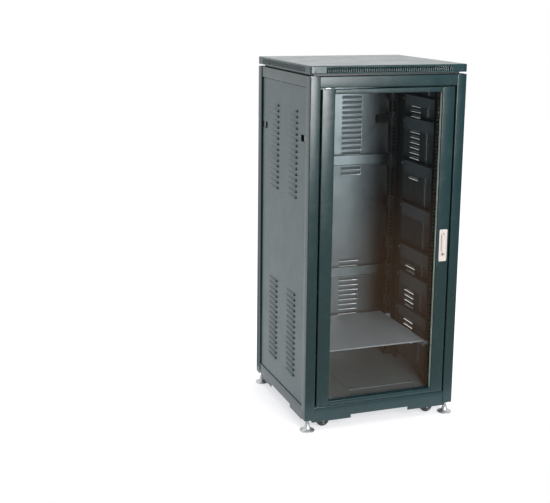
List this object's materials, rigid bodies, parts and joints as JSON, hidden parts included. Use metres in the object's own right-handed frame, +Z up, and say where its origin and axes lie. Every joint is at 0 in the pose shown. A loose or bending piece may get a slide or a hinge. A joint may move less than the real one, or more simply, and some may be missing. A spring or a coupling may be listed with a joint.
{
  "type": "network cabinet",
  "caption": "Free-standing 19-inch network cabinet: glazed swing door with lever lock, louvred lift-off panels, vented raised top, casters and levelling feet.",
  "frame": {"origin": "floor level at the centre of the plan, under the middle of the cabinet", "axes": "+Z up; the glazed door faces -Y; +X is to the right when facing the door"},
  "size_m": [0.619, 0.563, 1.326],
  "materials": {
    "frame_powder_coat": "fine-texture powder coat, satin",
    "cover_powder_coat": "fine-texture powder coat, satin",
    "panel_powder_coat": "fine-texture powder coat, satin",
    "door_powder_coat": "fine-texture powder coat, satin",
    "rail_powder_coat": "powder coat, satin",
    "shelf_light_grey": "light grey powder coat, satin",
    "zinc_plated": "bright zinc plate",
    "lock_silver": "silver lacquered die casting",
    "smoked_glass": "clear toughened, light smoke tint",
    "gasket_rubber": "matt black",
    "bush_nylon": "natural nylon",
    "latch_black": "fine-spark moulded",
    "latch_grey": "fine-spark moulded",
    "wheel_rubber": "satin black"
  },
  "bodies": {
    "cabinet": {"front_columns": "frame_powder_coat", "rear_columns": "frame_powder_coat", "top_cross_beams": "frame_powder_coat", "bottom_cross_beams": "frame_powder_coat", "side_top_beams": "frame_powder_coat", "side_bottom_beams": "frame_powder_coat", "floor_plate": "frame_powder_coat", "cable_entry_cover": "frame_powder_coat", "roof_plate": "frame_powder_coat", "roof_spacer": "frame_powder_coat", "top_cover": "cover_powder_coat", "corner_base_plates": "frame_powder_coat", "depth_rails": "rail_powder_coat", "rear_crossbars": "rail_powder_coat", "front_mounting_rails": "rail_powder_coat", "rear_mounting_rails": "rail_powder_coat", "shelf": "shelf_light_grey", "rail_screws": "zinc_plated", "cover_screws": "zinc_plated", "foot_nuts": "zinc_plated", "caster_plates": "zinc_plated", "hinge_brackets": "zinc_plated", "hinge_pins": "zinc_plated"},
    "door": {"door_frame": "door_powder_coat", "door_back_frame": "door_powder_coat", "door_glass": "smoked_glass", "glass_gasket": "gasket_rubber", "hinge_bushes": "bush_nylon", "lock_housing": "lock_silver"},
    "spindle": {"lock_spindle": "zinc_plated", "lock_cam": "zinc_plated"},
    "lever": {"lock_lever": "lock_silver", "lever_pin": "zinc_plated"},
    "plug": {"lock_plug": "zinc_plated"},
    "panel_left": {"side_panel_left": "panel_powder_coat", "latch_guides_left": "latch_black"},
    "panel_right": {"side_panel_right": "panel_powder_coat", "latch_guides_right": "latch_black"},
    "panel_rear": {"rear_panel": "panel_powder_coat", "latch_guides_rear": "latch_black"},
    "slider_lf": {"latch_slider_lf": "latch_grey"},
    "slider_lr": {"latch_slider_lr": "latch_grey"},
    "slider_rf": {"latch_slider_rf": "latch_grey"},
    "slider_rr": {"latch_slider_rr": "latch_grey"},
    "slider_bl": {"latch_slider_bl": "latch_grey"},
    "slider_br": {"latch_slider_br": "latch_grey"},
    "foot_fl_body": {"foot_fl": "zinc_plated"},
    "fork_fl": {"caster_fork_fl": "zinc_plated"},
    "wheel_fl": {"caster_wheel_fl": "wheel_rubber"},
    "foot_fr_body": {"foot_fr": "zinc_plated"},
    "fork_fr": {"caster_fork_fr": "zinc_plated"},
    "wheel_fr": {"caster_wheel_fr": "wheel_rubber"},
    "foot_rl_body": {"foot_rl": "zinc_plated"},
    "fork_rl": {"caster_fork_rl": "zinc_plated"},
    "wheel_rl": {"caster_wheel_rl": "wheel_rubber"},
    "foot_rr_body": {"foot_rr": "zinc_plated"},
    "fork_rr": {"caster_fork_rr": "zinc_plated"},
    "wheel_rr": {"caster_wheel_rr": "wheel_rubber"}
  },
  "joints": [
    {"name": "door_hinge", "type": "hinge", "parent": "cabinet", "child": "door", "pos_m": [-0.249, -0.265, 0.67], "axis": [0, 0, -1], "range_deg": [0, 102]},
    {"name": "lock_turn", "type": "hinge", "parent": "door", "child": "spindle", "pos_m": [0.233, -0.265, 0.705], "axis": [0, 1, 0], "range_deg": [0, 90]},
    {"name": "lever_flip", "type": "hinge", "parent": "spindle", "child": "lever", "pos_m": [0.233, -0.279, 0.705], "axis": [-1, 0, 0], "range_deg": [0, 35]},
    {"name": "key_turn", "type": "hinge", "parent": "door", "child": "plug", "pos_m": [0.233, -0.265, 0.632], "axis": [0, 1, 0], "range_deg": [0, 90]},
    {"name": "left_panel_off", "type": "slide", "parent": "cabinet", "child": "panel_left", "axis": [-1, 0, 0], "range_m": [0, 0.12]},
    {"name": "right_panel_off", "type": "slide", "parent": "cabinet", "child": "panel_right", "axis": [1, 0, 0], "range_m": [0, 0.12]},
    {"name": "rear_panel_off", "type": "slide", "parent": "cabinet", "child": "panel_rear", "axis": [0, 1, 0], "range_m": [0, 0.12]},
    {"name": "latch_lf_slide", "type": "slide", "parent": "panel_left", "child": "slider_lf", "axis": [0, -1, 0], "range_m": [0, 0.009]},
    {"name": "latch_lr_slide", "type": "slide", "parent": "panel_left", "child": "slider_lr", "axis": [0, 1, 0], "range_m": [0, 0.009]},
    {"name": "latch_rf_slide", "type": "slide", "parent": "panel_right", "child": "slider_rf", "axis": [0, -1, 0], "range_m": [0, 0.009]},
    {"name": "latch_rr_slide", "type": "slide", "parent": "panel_right", "child": "slider_rr", "axis": [0, 1, 0], "range_m": [0, 0.009]},
    {"name": "latch_bl_slide", "type": "slide", "parent": "panel_rear", "child": "slider_bl", "axis": [-1, 0, 0], "range_m": [0, 0.009]},
    {"name": "latch_br_slide", "type": "slide", "parent": "panel_rear", "child": "slider_br", "axis": [1, 0, 0], "range_m": [0, 0.009]},
    {"name": "foot_fl_screw", "type": "slide", "parent": "cabinet", "child": "foot_fl_body", "axis": [0, 0, 1], "range_m": [0, 0.012]},
    {"name": "caster_fl_swivel", "type": "hinge", "parent": "cabinet", "child": "fork_fl", "pos_m": [-0.201, -0.229, 0.06], "axis": [0, 0, 1], "continuous": true},
    {"name": "caster_fl_roll", "type": "hinge", "parent": "fork_fl", "child": "wheel_fl", "pos_m": [-0.2135, -0.229, 0.027], "axis": [0, 1, 0], "continuous": true},
    {"name": "foot_fr_screw", "type": "slide", "parent": "cabinet", "child": "foot_fr_body", "axis": [0, 0, 1], "range_m": [0, 0.012]},
    {"name": "caster_fr_swivel", "type": "hinge", "parent": "cabinet", "child": "fork_fr", "pos_m": [0.201, -0.229, 0.06], "axis": [0, 0, 1], "continuous": true},
    {"name": "caster_fr_roll", "type": "hinge", "parent": "fork_fr", "child": "wheel_fr", "pos_m": [0.2135, -0.229, 0.027], "axis": [0, 1, 0], "continuous": true},
    {"name": "foot_rl_screw", "type": "slide", "parent": "cabinet", "child": "foot_rl_body", "axis": [0, 0, 1], "range_m": [0, 0.012]},
    {"name": "caster_rl_swivel", "type": "hinge", "parent": "cabinet", "child": "fork_rl", "pos_m": [-0.201, 0.229, 0.06], "axis": [0, 0, 1], "continuous": true},
    {"name": "caster_rl_roll", "type": "hinge", "parent": "fork_rl", "child": "wheel_rl", "pos_m": [-0.2135, 0.229, 0.027], "axis": [0, 1, 0], "continuous": true},
    {"name": "foot_rr_screw", "type": "slide", "parent": "cabinet", "child": "foot_rr_body", "axis": [0, 0, 1], "range_m": [0, 0.012]},
    {"name": "caster_rr_swivel", "type": "hinge", "parent": "cabinet", "child": "fork_rr", "pos_m": [0.201, 0.229, 0.06], "axis": [0, 0, 1], "continuous": true},
    {"name": "caster_rr_roll", "type": "hinge", "parent": "fork_rr", "child": "wheel_rr", "pos_m": [0.2135, 0.229, 0.027], "axis": [0, 1, 0], "continuous": true}
  ]
}
